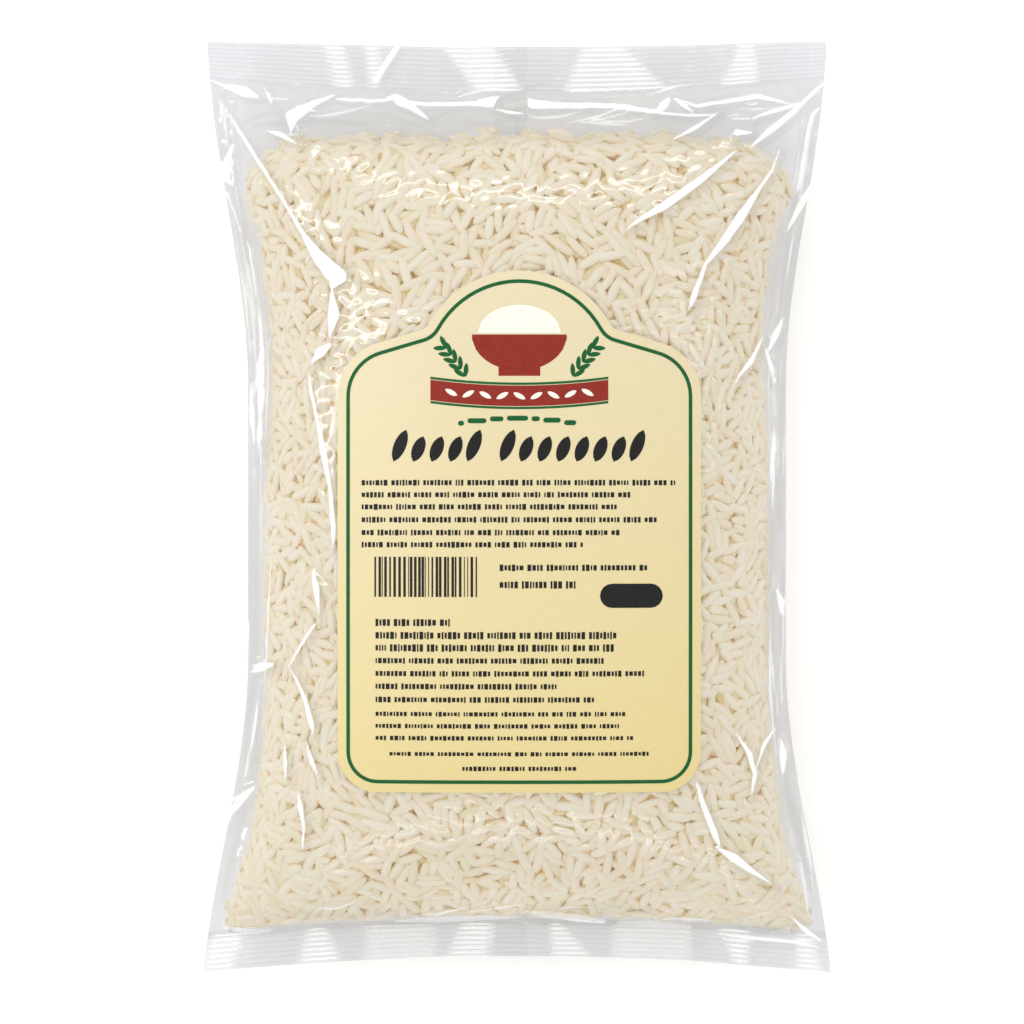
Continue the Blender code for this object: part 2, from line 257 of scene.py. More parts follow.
# Painted shade over the headspace, between the rice and the top seal
HEADSPACE_PAINTED_SHADE = 0.15
HEADSPACE_SHADE = (96.0, 107.5, 66.0)  # from y to y and to x at both sides, in mm
HEADSPACE_SOFTNESS = 2.5 * MM
SEAM_GREY = 0.08
# Painted shadow along the seals' inner edges, under the rice
SEAL_EDGE_SHADOW = 0.6

# Where the crimps catch the light: left and right at the seal's outer edge, then at its inner edge, in mm
Glint = namedtuple("Glint", "outer_left outer_right inner_left inner_right strength", defaults=(0.9,))
GLINT_SOFTNESS = 0.12
GLINT_FADE = 3.0  # mm over which the painted light round a glint fades
GLINT_STRIPES = (0.35, 0.1, -0.09)  # how a stripe's width follows the ridges and their strength, and its base
TOP_GLINTS = (
    Glint(-51.6, -47.1, -48.9, -44.0),
    Glint(-40.8, -37.5, -39.4, -37.3),
    Glint(-20.0, -6.5, -10.5, 1.4),
    Glint(17.8, 28.6, 12.7, 40.5),
    Glint(60.5, 63.6, 55.1, 64.9),
)
BOTTOM_GLINTS = (
    Glint(-84.8, -77.5, -82.3, -74.0),
    Glint(-58.6, -47.8, -56.4, -51.8),
    Glint(-40.8, -22.4, -40.8, -22.4, 0.4),
    Glint(-18.6, -8.6, -14.9, -6.5),
    Glint(9.7, 19.7, 9.2, 11.6),
    Glint(26.0, 46.7, 26.0, 46.7, 0.4),
    Glint(58.9, 61.6, 54.8, 62.9),
    Glint(75.6, 82.1, 75.6, 79.0),
)


def mix(low, high, share):
    return low + (high - low) * share


def unit(vectors):
    return vectors / np.linalg.norm(vectors, axis=-1, keepdims=True)


def smooth(share):
    share = np.clip(share, 0.0, 1.0)
    return share * share * (3 - 2 * share)


def wobble(x, lengths, seed):
    """A smooth curve over x between -1 and 1, made of one wave of each length."""
    phases = np.random.default_rng(seed).uniform(0.0, math.tau, len(lengths))
    waves = [np.sin(math.tau * x / length + phase) for length, phase in zip(lengths, phases)]
    return sum(waves) / len(waves)


# Shape of the bag


def half_width(y):
    """Half the film's width at y."""
    y = np.asarray(y, float)
    top = smooth((y - TOP_SPREAD[0]) / (TOP_SPREAD[1] - TOP_SPREAD[0]))
    bottom = smooth((-y - BOTTOM_SPREAD[0]) / (BOTTOM_SPREAD[1] - BOTTOM_SPREAD[0]))
    wide = (TOP_HALF_WIDTH - WAIST_HALF_WIDTH) * top + (BOTTOM_HALF_WIDTH - WAIST_HALF_WIDTH) * bottom
    return WAIST_HALF_WIDTH + wide


def ear_width(y):
    """Width of the clear film beyond the rice, at each side."""
    places, widths = np.array(EARS).T * MM
    return np.interp(y, places, widths)


def seal_lines(across):
    """y of the four seal edges, bottom to top, at a place from -1 to 1 across the bag."""
    bow = across * across
    return (
        -LENGTH / 2 + BOTTOM_SEAL_OUTER_BOW * (1 - bow),
        -BOTTOM_SEAL_INNER - BOTTOM_SEAL_INNER_BOW * bow,
        TOP_SEAL_INNER + TOP_SEAL_INNER_BOW * bow,
        LENGTH / 2 - TOP_SEAL_OUTER_BOW * (1 - bow),
    )


def dome(distance, powers):
    """1 in the middle and 0 at a distance of 1, by a superellipse."""
    squareness, steepness = powers
    return np.maximum(0.0, 1.0 - np.abs(distance) ** squareness) ** steepness


def least(*values):
    """The least of some positive values, with a smooth turn from one to another."""
    return sum(np.maximum(value, 1e-6) ** -4.0 for value in values) ** -0.25


def film_height(x, y, side):
    """Height of the film at x, y: side is 1 for the front and -1 for the back."""
    half = half_width(y)
    filled = half - ear_width(y)
    lines = seal_lines(x / half)
    along = np.clip(2 * (y - lines[1]) / (lines[2] - lines[1]) - 1, -1.0, 1.0)
    ripple = sum(height * np.sin(math.tau * x / wave + phase) for height, wave, phase in RIPPLES)
    face = SEAL_HEIGHT + ripple * np.abs(along) ** RIPPLE_FADE + side * FILM_GAP / 2
    walls = (WALL_SLOPE * (filled - np.abs(x)), WALL_SLOPE * (y - lines[1]), WALL_SLOPE * (lines[2] - y))
    if side > 0:
        bulge = dome(x / filled, FRONT_SECTION) * dome(along, FRONT_PROFILE)
        return face + least((THICKNESS - face) * bulge, *walls)
    bulge = BACK_FLATNESS * dome(x / filled, BACK_SECTION) * dome(along, BACK_PROFILE)
    return face - least((face - BACK_LIFT) * np.minimum(bulge, 1.0), *walls)


def film_top(x):
    """y where the film's body meets the top seal."""
    return seal_lines(x / TOP_HALF_WIDTH)[2]


def rice_top(x):
    """y where the rice ends: uneven, and lower at both corners."""
    corner = (np.abs(x) / WAIST_HALF_WIDTH) ** RICE_CORNER_POWER
    uneven = RICE_TOP_UNEVENNESS * wobble(x, RICE_TOP_WAVES, 3) + RICE_TOP_JAG * wobble(x, RICE_TOP_JAGS, 4)
    return RICE_TOP + uneven - RICE_CORNER_DROP * corner


def rice_height(x, y, side):
    """Height of the rice's surface: the film's, apart from the round edge where the rice ends."""
    film = film_height(x, y, side)
    middle = (film_height(x, y, 1) + 2 * film_height(x, y, -1)) / 3
    fall = np.clip((y - rice_top(x) + RICE_SHOULDER) / RICE_SHOULDER, 0.0, 1.0)
    return middle + (film - middle) * np.sqrt(1.0 - fall**2)


def even_steps(x, z, count):
    """count values of x whose points (x, z) lie the same distance apart, and the whole length."""
    run = np.concatenate([[0.0], np.cumsum(np.hypot(np.diff(x), np.diff(z)))])
    return np.interp(np.linspace(0.0, run[-1], count), run, x), run[-1]


class Sheet:
    """A grid over one face of the bag, whose columns and rows are even steps over the curved face.

    A whole sheet has the seals and the side ears. Otherwise it covers the filled body alone.
    """

    def __init__(self, side, step, height, top, whole):
        self.side = side
        self.whole = whole
        ys = np.linspace(-BOTTOM_SEAL_INNER, float(top(0.0)), 3000)
        body, self.length = even_steps(ys, height(0.0 * ys, ys, side), round(1.04 * LENGTH / step))
        columns = round(2 * BOTTOM_HALF_WIDTH / step) + 1
        shares = [(0, share) for share in (body + BOTTOM_SEAL_INNER) / (top(0.0) + BOTTOM_SEAL_INNER)]
        if whole:
            low = np.linspace(0.0, 1.0, BOTTOM_SEAL_RIDGES * ROWS_PER_RIDGE + 1)[:-1]
            high = np.linspace(0.0, 1.0, TOP_SEAL_RIDGES * ROWS_PER_RIDGE + 1)[1:]
            shares = [(-1, share) for share in low] + shares + [(1, share) for share in high]
        self.shares = np.array(shares)
        self.body_rows = len(body)
        self.first_body_row = int((self.shares[:, 0] < 0).sum())
        self.points = np.empty((len(shares), columns, 3))
        self.widths = np.empty(len(shares))
        for j, (place, share) in enumerate(shares):
            y = self.row_y(0.0, place, share, top)
            x = self.row_x(y, height, columns, j)
            row = self.row_y(x, place, share, top)
            self.points[j] = np.stack([x, row, height(x, row, side)], axis=1)
        self.update_normals()

    def row_y(self, x, place, share, top):
        """y of a row at x: place is -1 in the bottom seal, 0 in the body and 1 in the top seal."""
        half = {-1: BOTTOM_HALF_WIDTH, 0: WAIST_HALF_WIDTH, 1: TOP_HALF_WIDTH}[place]
        lines = seal_lines(np.clip(x / half, -1.0, 1.0))
        if place < 0:
            return mix(lines[0], lines[1], share)
        if place > 0:
            return mix(lines[2], lines[3], share)
        low = seal_lines(np.clip(x / BOTTOM_HALF_WIDTH, -1.0, 1.0))[1]
        return mix(low, top(x), share)

    def row_x(self, y, height, columns, j):
        """x of the columns in the row at y."""
        half = float(half_width(y))
        inner = half - float(ear_width(y))
        turn = np.linspace(0.0, math.pi / 2, 260)
        reach = inner * np.sin(turn)
        if self.whole:
            reach = np.concatenate([reach, np.linspace(inner, half, 20)[1:]])
        reach = np.concatenate([-reach[:0:-1], reach])
        inside = min(max(y, -BOTTOM_SEAL_INNER), TOP_SEAL_INNER)
        x, self.widths[j] = even_steps(reach, height(reach, inside + 0.0 * reach, self.side), columns)
        return x

    def round_off(self, times):
        """Rounds off sharp turns by taking each height towards its neighbours' mean."""
        z = self.points[..., 2]
        for _ in range(times):
            z[1:-1] += (z[:-2] + z[2:] - 2 * z[1:-1]) / 4
            z[:, 1:-1] += (z[:, :-2] + z[:, 2:] - 2 * z[:, 1:-1]) / 4
        self.update_normals()

    def update_normals(self):
        across = np.gradient(self.points, axis=1)
        along = np.gradient(self.points, axis=0)
        self.normals = unit(np.cross(across, along)) * self.side

    def flat_places(self):
        """Distances of every point of the grid across from the middle and along from the bottom seal."""
        rows, columns = self.points.shape[:2]
        t = (np.arange(rows) - self.first_body_row) / (self.body_rows - 1) * self.length
        s = np.linspace(-0.5, 0.5, columns) * self.widths[:, None]
        return s, np.broadcast_to(t[:, None], s.shape)

    def to_edges(self, s, t):
        """Distances over the body's face to the nearest side and to the top edge."""
        row = np.clip(t / self.length, 0, 1) * (self.body_rows - 1) + self.first_body_row
        width = np.interp(row, np.arange(len(self.widths)), self.widths)
        return width / 2 - np.abs(s), self.length - t

    def at(self, s, t):
        """Point and outward normal at s across from the middle and t along from the bottom seal."""
        rows, columns = self.points.shape[:2]
        row = np.clip(self.first_body_row + t / self.length * (self.body_rows - 1), 0, rows - 1.001)
        width = np.interp(row, np.arange(rows), self.widths)
        column = np.clip((s / width + 0.5) * (columns - 1), 0, columns - 1.001)
        r, c = row.astype(int), column.astype(int)
        fr, fc = (row - r)[:, None], (column - c)[:, None]
        result = []
        for grid in (self.points, self.normals):
            low = mix(grid[r, c], grid[r, c + 1], fc)
            high = mix(grid[r + 1, c], grid[r + 1, c + 1], fc)
            result.append(mix(low, high, fr))
        return result[0], unit(result[1])


def grid_faces(rows, columns, flip=False):
    index = np.arange(rows * columns).reshape(rows, columns)
    corners = [index[:-1, :-1], index[:-1, 1:], index[1:, 1:], index[1:, :-1]]
    if flip:
        corners.reverse()
    return np.stack(corners, axis=-1).reshape(-1, 4)


def new_piece(name, points, faces, material):
    mesh = bpy.data.meshes.new(name)
    faces = [list(map(int, face)) for face in faces]
    mesh.from_pydata(np.asarray(points).reshape(-1, 3).tolist(), [], faces)
    mesh.shade_smooth()
    mesh.materials.append(material)
    piece = bpy.data.objects.new(name, mesh)
    bpy.context.scene.collection.objects.link(piece)
    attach(piece, "root")
    return piece


def set_values(piece, name, values):
    """Stores one number a vertex, which the material reads."""
    attribute = piece.data.attributes.new(name, "FLOAT", "POINT")
    attribute.data.foreach_set("value", np.asarray(values, np.float32).ravel())


# The label's outline


def arc(centre, radius, start, end, step=math.radians(6)):
    count = max(2, math.ceil(abs(end - start) / step) + 1)
    angles = np.linspace(start, end, count)
    return [(centre[0] + radius * math.cos(a), centre[1] + radius * math.sin(a)) for a in angles]


def label_side(inset=0.0):
    """Left half of the label's outline, bottom to top, about its own middle line, taken in by inset."""
    quarter = math.pi / 2
    half = LABEL_HALF_WIDTH - inset
    corner_radius = LABEL_CORNER_RADIUS - inset
    shoulder_radius = LABEL_SHOULDER_RADIUS - inset
    arch_radius = LABEL_ARCH_RADIUS - inset
    neck_radius = LABEL_NECK_RADIUS + inset
    corner = (-half + corner_radius, LABEL_BOTTOM + LABEL_CORNER_RADIUS)
    shoulder = (-half + shoulder_radius, LABEL_SHOULDER_Y)
    arch = (0.0, LABEL_TOP - LABEL_ARCH_RADIUS)
    slope = (math.cos(LABEL_SHOULDER_SLOPE), math.sin(LABEL_SHOULDER_SLOPE))
    normal = (-slope[1], slope[0])
    lift = shoulder_radius + neck_radius
    start = (shoulder[0] + normal[0] * lift - arch[0], shoulder[1] + normal[1] * lift - arch[1])
    reach = arch_radius + neck_radius
    half_b = start[0] * slope[0] + start[1] * slope[1]
    run = -half_b - math.sqrt(half_b**2 - start[0] ** 2 - start[1] ** 2 + reach**2)
    neck = (arch[0] + start[0] + slope[0] * run, arch[1] + start[1] + slope[1] * run)
    meet = math.atan2(neck[1] - arch[1], neck[0] - arch[0])
    points = arc(corner, corner_radius, -quarter, -2 * quarter)
    points += arc(shoulder, shoulder_radius, 2 * quarter, quarter + LABEL_SHOULDER_SLOPE)
    points += arc(neck, neck_radius, LABEL_SHOULDER_SLOPE - quarter, meet - math.pi)[:-1]
    points += arc(arch, arch_radius, meet, quarter)
    return np.array(points)


LABEL_SIDE = label_side()


def inside_label(x, y):
    """Distance that a place lies inside the label's sides, bottom and top; negative outside it."""
    half = np.interp(y, LABEL_SIDE[:, 1], -LABEL_SIDE[:, 0], left=-1.0, right=-1.0)
    return np.minimum.reduce([half - np.abs(x - LABEL_CENTRE_X), y - LABEL_BOTTOM, LABEL_TOP - y])


def label_height(x, y):
    return film_height(x, y, 1) + LABEL_LIFT


# The rice: every grain is laid against the film from inside, as deep as the grains before it make it lie


class GrainBed:
    """A map of one face of the bag, in flat cells, and the grains laid on it."""

    TURNS = 24
    SIZES = (0.60, 0.78, 0.92, 1.03, 1.15)
    SIZE_ODDS = (0.12, 0.20, 0.30, 0.26, 0.12)
    SNUG = 0.72  # grains may lie this much closer than their outlines allow
    PRESSED = 0.68  # and this much closer than their thickness allows
    SHIFTS = 2  # places tried for each turn of a grain
    TILTS = (-0.26, -0.17, -0.08, 0.0, 0.08, 0.17, 0.26)
    SHIFT = (-5, 6)  # cells from the barest place to such a place, up to but not with the last
    CHOICES = 48  # places that are compared before a grain is laid
    TAPER = 2.3  # how blunt the ends of a grain's outline are

    def __init__(self, sheet, wanted):
        self.half = sheet.widths.max() / 2
        self.rows = int(sheet.length / CELL) + 1
        self.columns = int(2 * self.half / CELL) + 1
        self.filled = np.zeros((self.rows, self.columns))
        self.outer = np.full((self.rows, self.columns), LOWEST_GRAIN)
        self.open = wanted(*np.meshgrid(self.cell_s(np.arange(self.columns)), np.arange(self.rows) * CELL))
        self.cells = np.argwhere(self.open)
        self.stamps = {}
        for size in range(len(self.SIZES)):
            for turn in range(self.TURNS):
                self.stamps[size, turn] = self.stamp(self.SIZES[size], math.pi * turn / self.TURNS)
        self.grains = []

    def cell_s(self, column):
        return column * CELL - self.half

    def stamp(self, size, angle):
        """Steps to the cells under a grain, half the grain's thickness there, and the distance along it."""
        reach = int(GRAIN_LENGTH * size / 2 / CELL) + 1
        steps = np.arange(-reach, reach + 1)
        down, over = np.meshgrid(steps, steps, indexing="ij")
        along = (over * math.cos(angle) + down * math.sin(angle)) * CELL
        side = (down * math.cos(angle) - over * math.sin(angle)) * CELL
        room = 1 - np.abs(along / (GRAIN_LENGTH * size * self.SNUG / 2)) ** self.TAPER
        room = np.maximum(room, 0.0) - (side / (GRAIN_WIDTH * self.SNUG / 2)) ** 2
        inside = room > 0
        thick = self.PRESSED * GRAIN_DEPTH / 2 * np.sqrt(room[inside])
        return down[inside], over[inside], thick, along[inside]

    def try_at(self, row, column, size, turn):
        down, over, thick, along = self.stamps[size, turn]
        rows, columns = row + down, column + over
        if rows.min() < 0 or columns.min() < 0 or rows.max() >= self.rows or columns.max() >= self.columns:
            return None
        if not self.open[rows, columns].all():
            return None
        return rows, columns, thick, along

    def lay_one(self):
        """Lays one grain at the barest of some random places."""
        rows, columns = self.cells[rng.integers(0, len(self.cells), self.CHOICES)].T
        barest = np.argmin(self.filled[rows, columns])
        row, column = rows[barest], columns[barest]
        size = rng.choice(len(self.SIZES), p=self.SIZE_ODDS)
        best = None
        for turn in rng.permutation(np.repeat(np.arange(self.TURNS), self.SHIFTS)):
            r, c = row + rng.integers(*self.SHIFT), column + rng.integers(*self.SHIFT)
            found = self.try_at(r, c, size, turn)
            if found is None:
                continue
            rest = (self.filled[found[0], found[1]] + found[2]).max()
            if best is None or rest < best[0]:
                best = (rest, r, c, turn, found)
        if best is None or best[0] > LOWEST_GRAIN:
            return
        _, r, c, turn, (rows, columns, thick, along) = best
        rests = [(self.filled[rows, columns] + thick - tilt * along).max() for tilt in self.TILTS]
        depth, tilt = min(zip(rests, self.TILTS))
        centre = depth + tilt * along
        self.filled[rows, columns] = np.maximum(self.filled[rows, columns], centre + thick)
        self.outer[rows, columns] = np.minimum(self.outer[rows, columns], centre - thick)
        place = (self.cell_s(c), r * CELL, math.pi * turn / self.TURNS)
        self.grains.append((*place, depth, tilt, self.SIZES[size]))

    def lay(self, tries):
        for _ in range(tries):
            self.lay_one()
        return np.array(self.grains)


ROUND_END, SHARP_END = 0.46, 0.56
BEND_MIDDLE = 0.35  # keeps a bent grain about its middle line
FINE_GRAINS = ((0.1, 2.5), (-0.08, 3.0), (0.16, 2.7), (0.0, 2.6))  # bend and fullness of each
COARSE_GRAINS = ((0.1, 2.6), (-0.1, 2.6))


def grain_template(rings, sides, bend, fullness):
    """Vertices and faces of one grain, 2 long and 2 wide, round at one end and sharper at the other."""
    places = -np.cos(np.linspace(0.0, math.pi, rings + 2))
    tip = bend * (1 - BEND_MIDDLE)
    points = [(-1.0, tip, 0.0)]
    for place in places[1:-1]:
        radius = (1 - abs(place) ** fullness) ** (SHARP_END if place > 0 else ROUND_END)
        for k in range(sides):
            angle = math.tau * k / sides
            across = radius * math.cos(angle) + bend * (place**2 - BEND_MIDDLE)
            points.append((place, across, radius * math.sin(angle)))
    points.append((1.0, tip, 0.0))
    faces = []
    last = len(points) - 1
    for k in range(sides):
        following = (k + 1) % sides
        faces.append((0, 1 + following, 1 + k))
        for ring in range(rings - 1):
            low, high = 1 + ring * sides, 1 + (ring + 1) * sides
            faces.append((low + k, low + following, high + following, high + k))
        faces.append((last, last - sides + k, last - sides + following))
    return np.array(points), faces


def keep_inside(centre, along, half, side):
    """Moves grains that would come out through the film, where it falls to a seal, back into the bag."""
    for end in (-0.9, 0.0, 0.9):
        place = centre + along * (end * half)[:, None]
        out = side * (place[:, 2] - film_height(place[:, 0], place[:, 1], side)) + LEAST_COVER
        centre[:, 2] -= side * np.maximum(out, 0.0)


def place_grains(name, sheet, grains, templates, material):
    """One joined mesh of grains: each takes one of the templates in turn."""
    s, t, angle, depth, tilt, size = grains.T
    run, rise = np.cos(angle), np.sin(angle)
    point, normal = sheet.at(s, t)
    beyond, _ = sheet.at(s + run * CELL, t + rise * CELL)
    before, _ = sheet.at(s - run * CELL, t - rise * CELL)
    along = beyond - before
    along = unit(along - normal * np.sum(along * normal, axis=1, keepdims=True))

    # A long grain under a curved film has to sink for its ends to stay inside
    half = GRAIN_LENGTH * size / 2
    _, ahead = sheet.at(s + run * half, t + rise * half)
    _, behind = sheet.at(s - run * half, t - rise * half)
    turn = np.arccos(np.clip(np.sum(ahead * behind, axis=1), -1, 1))
    sink = half * turn / 4 + depth + RICE_CLEARANCE

    along = unit(along - normal * tilt[:, None])
    side = unit(np.cross(normal, along))
    up = np.cross(along, side)
    centre = point - normal * sink[:, None]
    keep_inside(centre, along, half, sheet.side)
    width = GRAIN_WIDTH * rng.uniform(0.9, 1.1, len(s))
    thick = GRAIN_DEPTH * rng.uniform(0.9, 1.08, len(s))
    aside, above = sheet.to_edges(s, t)
    hidden = smooth(np.minimum(aside / SIDE_MARGIN, above / TOP_MARGIN - 1))
    # Painted shade: deeper grains are painted darker and warmer, less so near the sides and the top
    painted_shade = DEPTH_SHADE * hidden * np.maximum(depth - GRAIN_DEPTH / 2, 0.0)
    tone = rng.uniform(TONES[0], TONES[1], len(s)) - painted_shade
    flip = rng.choice([-1.0, 1.0], len(s))
    axes = np.stack([along, side, up], axis=1)
    sizes = np.stack([half * flip, width / 2 * flip, thick / 2], axis=1)

    points, faces, tones = [], [], []
    count = 0
    for k, (shape, shape_faces) in enumerate(templates):
        chosen = np.arange(k, len(s), len(templates))
        local = shape[None] * sizes[chosen, None]
        world = centre[chosen, None] + local @ axes[chosen]
        points.append(world.reshape(-1, 3))
        tones.append(np.repeat(tone[chosen], len(shape)))
        for grain in range(len(chosen)):
            base = count + grain * len(shape)
            faces += [tuple(base + corner for corner in face) for face in shape_faces]
        count += len(chosen) * len(shape)
    piece = new_piece(name, np.concatenate(points), faces, material)
    set_values(piece, "tone", np.concatenate(tones))


FRONT_TRIES = 7500
BACK_TRIES = 4200
NEAR_DEPTH = 1.3 * MM  # grains down to this depth are finely shaped
HIDDEN_UNDER_LABEL = 11.0 * MM
TONES = (0.4, 1.0)
DEPTH_SHADE = 0.55 / MM  # painted shade: the deeper a grain lies, the darker and warmer it is painted
SIDE_MARGIN = 14.0 * MM  # less so this near to the sides and the top, where nothing hides the deep grains
TOP_MARGIN = 15.0 * MM
LEAST_GAP = {1: 2.4 * MM, -1: 4.4 * MM}  # between the films, for grains along the front and the back


def make_rice():
    """Grains along the front and the back, and the maps of how they lie."""
    material = rice_material()
    fine = [grain_template(5, 7, *form) for form in FINE_GRAINS]
    coarse = [grain_template(4, 6, *form) for form in COARSE_GRAINS]
    beds = {}
    for side, name, tries in ((1, "rice_front", FRONT_TRIES), (-1, "rice_back", BACK_TRIES)):
        sheet = Sheet(side, 1.0 * MM, rice_height, rice_top, whole=False)

        def wanted(s, t):
            point, _ = sheet.at(s.ravel(), t.ravel())
            x, y = point[:, 0], point[:, 1]
            gap = film_height(x, y, 1) - film_height(x, y, -1)
            hidden = (inside_label(x, y) > HIDDEN_UNDER_LABEL) & (side > 0)
            keep = (gap > LEAST_GAP[side]) & ~hidden
            return keep.reshape(s.shape) & (sheet.to_edges(s, t)[0] > 0)

        bed = GrainBed(sheet, wanted)
        grains = bed.lay(tries)
        near = grains[:, 3] < NEAR_DEPTH
        place_grains(name, sheet, grains[near], fine if side > 0 else coarse, material)
        place_grains(f"{name}_deep", sheet, grains[~near], coarse, material)
        beds[side] = bed
    return beds


def make_core():
    """The heart of the rice that shows between the grains, painted tan as the shade deep between them: two
    inset faces joined round the rim.
    """
    sheets = [Sheet(side, CORE_STEP, rice_height, rice_top, whole=False) for side in (1, -1)]
    rows, columns = sheets[0].points.shape[:2]
    points = [sheet.points - sheet.normals * CORE_INSET for sheet in sheets]
    middle = (points[0][..., 2] + points[1][..., 2]) / 2
    points[0][..., 2] = np.maximum(points[0][..., 2], middle)
    points[1][..., 2] = np.minimum(points[1][..., 2], middle)
    for face in points:
        y = face[..., 1]
        reach = half_width(y) - ear_width(y) - CORE_MARGIN
        face[..., 0] = np.clip(face[..., 0], -reach, reach)
        face[..., 1] = np.clip(y, CORE_MARGIN - BOTTOM_SEAL_INNER, rice_top(face[..., 0]) - CORE_MARGIN)
    count = rows * columns
    index = np.arange(count).reshape(rows, columns)
    rim = np.concatenate([index[0, :-1], index[:-1, -1], index[-1, :0:-1], index[:0:-1, 0]])
    following = np.roll(rim, -1)
    wall = np.stack([following, rim, rim + count, following + count], axis=-1)
    faces = np.concatenate([grid_faces(rows, columns), count + grid_faces(rows, columns, flip=True), wall])
    new_piece("rice_core", np.concatenate(points), faces, core_material())


# The film: crimps, creases, and the way it lies over the grains


def along_route(points, route):
    """Distance of each point from a route, and how far along the route, from 0 to 1, its nearest place is."""
    lengths = np.linalg.norm(np.diff(route, axis=0), axis=1)
    nearest = np.full(points.shape[:2], np.inf)
    share = np.zeros(points.shape[:2])
    start = 0.0
    for a, b, length in zip(route[:-1], route[1:], lengths):
        run = np.clip(((points - a) @ (b - a)) / length**2, 0.0, 1.0)
        away = np.linalg.norm(points - a - run[..., None] * (b - a), axis=-1)
        closer = away < nearest
        nearest[closer] = away[closer]
        share[closer] = (start + run * length)[closer] / lengths.sum()
        start += length
    return nearest, share


def crimp_wave(sheet):
    """The crimped ridges of both seals, from -1 to 1 for each row."""
    place, share = sheet.shares.T
    wave = np.zeros(len(place))
    wave[place < 0] = -np.sin(math.tau * BOTTOM_SEAL_RIDGES * share[place < 0])
    wave[place > 0] = np.sin(math.tau * TOP_SEAL_RIDGES * share[place > 0])
    return wave[:, None]


def crimp_strength(sheet):
    mean, spread = CRIMP_STRENGTH
    return mean + spread * wobble(sheet.points[..., 0], CRIMP_WAVES, 11)


def crimps(sheet):
    """Heights of the crimped ridges in both seals."""
    return CRIMP_HEIGHT * crimp_wave(sheet) * crimp_strength(sheet)


class FilmLook:
    """How far inside a patch painted white each point lies, in mm, how white that patch is, and the greyness,
    which carries painted shade.
    """

    OUTSIDE = -3.0

    def __init__(self, shape):
        self.inside = np.full(shape, self.OUTSIDE)
        self.strength = np.zeros(shape)
        self.grey = np.full(shape, FILM_GREY)

    def whiten(self, inside, strength):
        nearer = inside > self.inside
        self.inside = np.where(nearer, inside, self.inside)
        self.strength = np.where(nearer, strength, self.strength)

    def shade(self, inside, softness, strength):
        self.grey = np.maximum(self.grey, FILM_GREY + strength * smooth(1 + inside / softness))

    def store(self, piece):
        set_values(piece, "inside", self.inside)
        set_values(piece, "white", self.strength)
        set_values(piece, "grey", np.clip(self.grey, 0.0, 1.0))


def whiten_seals(sheet, look):
    """Stripes where the crimps catch the light."""
    place, share = sheet.shares.T
    x = sheet.points[..., 0] / MM
    ridge, strength, base = GLINT_STRIPES
    stripes = ridge * crimp_wave(sheet) + strength * crimp_strength(sheet) + base
    for side, glints in ((1, TOP_GLINTS), (-1, BOTTOM_GLINTS)):
        out = (share if side > 0 else 1 - share)[:, None]
        for glint in glints:
            left = mix(glint.inner_left, glint.outer_left, out)
            right = mix(glint.inner_right, glint.outer_right, out)
            within = np.where(place[:, None] == side, np.minimum(x - left, right - x), look.OUTSIDE)
            look.whiten(np.minimum(within * GLINT_SOFTNESS, stripes), glint.strength)
            # Painted highlight: less grey film round each glint
            look.grey -= GLINT_PAINTED_LIGHT * smooth(0.5 + within / GLINT_FADE)


def tapered(widest, count):
    """Half widths of a line that is thin at both ends."""
    return widest * np.sin(np.linspace(0.2, math.pi - 0.2, count))


def ear_line(draw, side, length, widest):
    """A line along an ear: its bends, seeded."""
    start = draw.uniform(-114, 104)
    y = np.linspace(start, min(start + length, 112), 7)
    offset = draw.uniform(0.5, 5.2) + draw.uniform(-0.06, 0.06) * (y - y[0])
    x = side * (half_width(y * MM) / MM - offset)
    return np.stack([x, y, tapered(widest, len(y))], axis=1)


def cross_line(draw, low, high, length, widest):
    """A line across the bag between two heights: its bends, seeded."""
    x, y = draw.uniform(-76, 76 - length), draw.uniform(low, high)
    turn = draw.uniform(-0.35, 0.35)
    steps = np.linspace(0.0, 1.0, 6)
    bend = draw.uniform(-0.14, 0.14) * length * steps * (1 - steps) * 4
    over, up = length * steps * math.cos(turn), length * steps * math.sin(turn)
    return np.stack([x + over, y + up + bend, tapered(widest, len(steps))], axis=1)


HEADSPACE = (102.0, 111.0)  # from the rice to the top seal, in mm
FOOT = (-111.5, -107.0)  # above the bottom seal

# Seeded lines: their number, and the ranges of their length and greatest half width, in mm, and strength
Lines = namedtuple("Lines", "number length half strength")
# The crease lines are painted white, as crease haze and painted highlight
CREASES_AT_EARS = Lines(24, (6, 38), (0.12, 0.5), (0.4, 0.9))
CREASES_AT_ENDS = Lines((16, 8), (5, 20), (0.1, 0.5), (0.3, 0.8))
# The streaks are painted shade along the film's folds
STREAKS_AT_EARS = Lines(22, (14, 60), (0.2, 0.8), (0.1, 0.4))
STREAKS_AT_ENDS = Lines((14, 8), (12, 40), (0.2, 0.9), (0.08, 0.3))


def seeded_lines(seed, at_ears, at_ends):
    """Lines along both ears, below the top seal and above the bottom one: their bends and strengths."""
    draw = np.random.default_rng(seed)
    found = []
    for side in (-1, 1):
        for _ in range(at_ears.number):
            line = ear_line(draw, side, draw.uniform(*at_ears.length), draw.uniform(*at_ears.half))
            found.append((line, draw.uniform(*at_ears.strength)))
    for (low, high), count in zip((HEADSPACE, FOOT), at_ends.number):
        for _ in range(count):
            line = cross_line(draw, low, high, draw.uniform(*at_ends.length), draw.uniform(*at_ends.half))
            found.append((line, draw.uniform(*at_ends.strength)))
    return found


